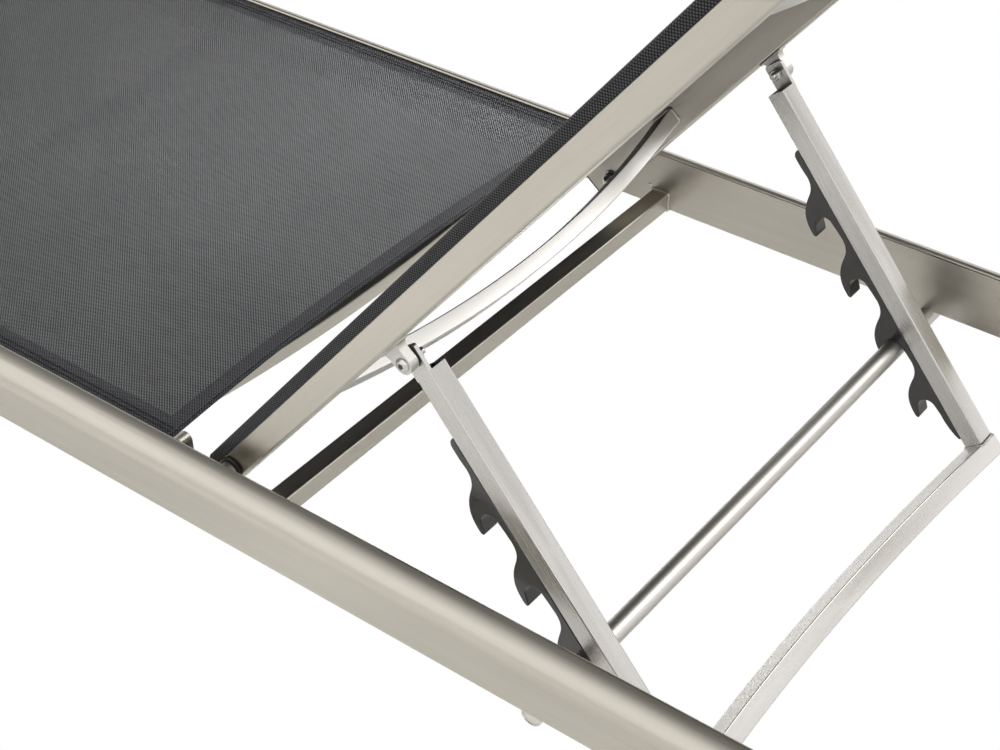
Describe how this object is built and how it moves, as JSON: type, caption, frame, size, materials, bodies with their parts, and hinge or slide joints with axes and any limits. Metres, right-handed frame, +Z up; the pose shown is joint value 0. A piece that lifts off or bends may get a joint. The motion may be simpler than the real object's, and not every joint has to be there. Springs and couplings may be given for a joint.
{
  "type": "reclining sun lounger",
  "caption": "Low aluminium sun lounger with woven slings and a hinged backrest held up by a toothed prop frame over a cross rod.",
  "frame": {"origin": "on the floor, under the middle of the frame's length and width", "axes": "+X along the lounger towards the head end, +Z up, +Y across its width"},
  "size_m": [1.965, 0.67, 0.9184],
  "materials": {
    "frame_metal": "satin champagne anodised, fine lengthwise brushing",
    "bare_aluminium": "bright brushed",
    "stainless_steel": "polished",
    "black_plastic": "matt moulded",
    "rack_plastic": "satin moulded",
    "washer_nylon": "satin moulded",
    "sling_fabric": "coated woven mesh, charcoal",
    "keder_cord": "matt"
  },
  "bodies": {
    "frame": {"side_rail_left": "frame_metal", "side_rail_right": "frame_metal", "rail_end_caps": "black_plastic", "square_cross_tube": "frame_metal", "head_cross_tube": "frame_metal", "foot_cross_tube": "frame_metal", "seat_brace_rear": "frame_metal", "seat_brace_middle": "frame_metal", "seat_brace_front": "frame_metal", "support_rod": "bare_aluminium", "rod_end_plugs": "bare_aluminium", "leg_foot_left": "frame_metal", "leg_foot_right": "frame_metal", "leg_head_left": "frame_metal", "leg_head_right": "frame_metal", "foot_glides": "black_plastic", "seat_sling": "sling_fabric", "seat_keders": "keder_cord", "sling_stops": "frame_metal", "frame_rivets": "stainless_steel", "pivot_studs": "stainless_steel", "pivot_spacers": "frame_metal", "pivot_washers": "washer_nylon", "pivot_cap_nuts": "stainless_steel"},
    "backrest": {"back_tube_left": "frame_metal", "back_tube_right": "frame_metal", "back_tube_caps": "black_plastic", "back_brace_lower": "frame_metal", "back_brace_upper": "frame_metal", "backrest_sling": "sling_fabric", "back_keders": "keder_cord", "hinge_lug_left": "frame_metal", "hinge_lug_right": "frame_metal", "hinge_bolts": "stainless_steel", "hinge_washers": "washer_nylon", "hinge_nuts": "stainless_steel"},
    "prop": {"prop_leg_left": "frame_metal", "prop_leg_right": "frame_metal", "prop_cross_tube": "frame_metal", "rack_left": "rack_plastic", "rack_right": "rack_plastic"}
  },
  "joints": [
    {"name": "backrest_recline", "type": "hinge", "parent": "frame", "child": "backrest", "pos_m": [0.165, 0, 0.292], "axis": [0, 1, 0], "range_deg": [0, 50.7]},
    {"name": "prop_swing", "type": "hinge", "parent": "backrest", "child": "prop", "pos_m": [0.35247, 0, 0.47842], "axis": [0, 1, 0], "range_deg": [-103.5, 0]}
  ],
  "couplings": [
    {"joint": "prop_swing", "follows": "backrest_recline", "ratio": -2.03}
  ]
}
